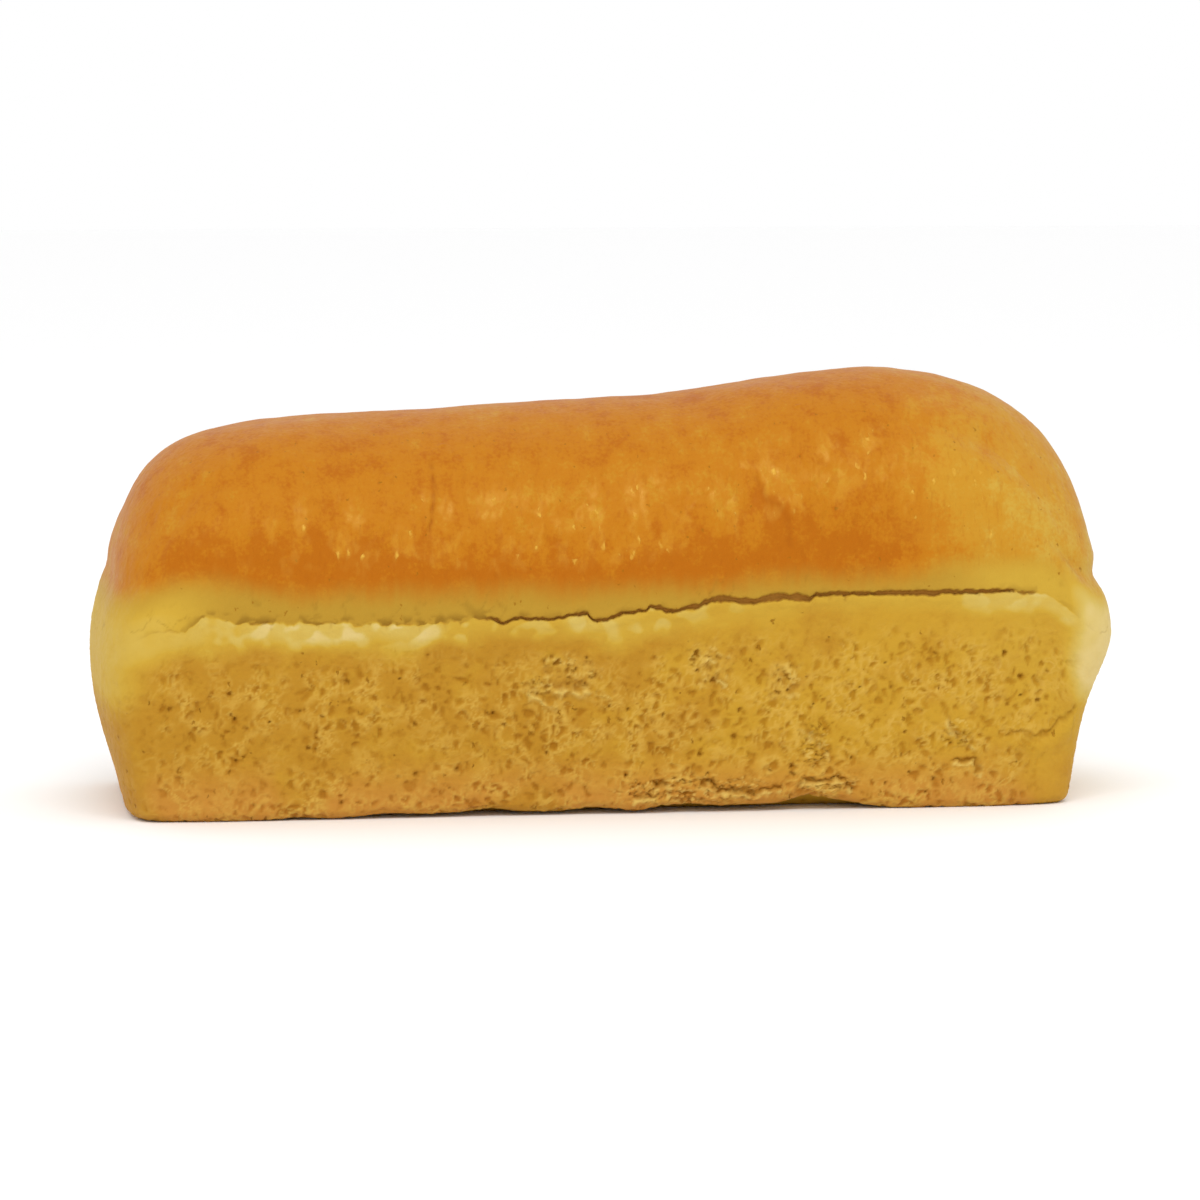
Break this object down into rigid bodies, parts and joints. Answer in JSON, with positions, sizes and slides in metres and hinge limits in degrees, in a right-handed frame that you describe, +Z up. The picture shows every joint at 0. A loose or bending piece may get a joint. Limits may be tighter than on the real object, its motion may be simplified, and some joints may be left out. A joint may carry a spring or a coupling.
{
  "type": "tin loaf",
  "caption": "Uncut tin loaf of white bread with straight tapered walls, a split along the rim and a domed glossy golden crown that stands higher at one end.",
  "frame": {"origin": "on the table, at the middle of the loaf's length and width", "axes": "+X along the loaf towards its higher end, +Y from its front to its back, +Z up"},
  "size_m": [0.3072, 0.1114, 0.1305],
  "materials": {
    "crust": "baked bread crust: glossy egg-washed golden crown, matt paler walls"
  },
  "bodies": {
    "root": {"loaf": "crust"}
  },
  "joints": []
}
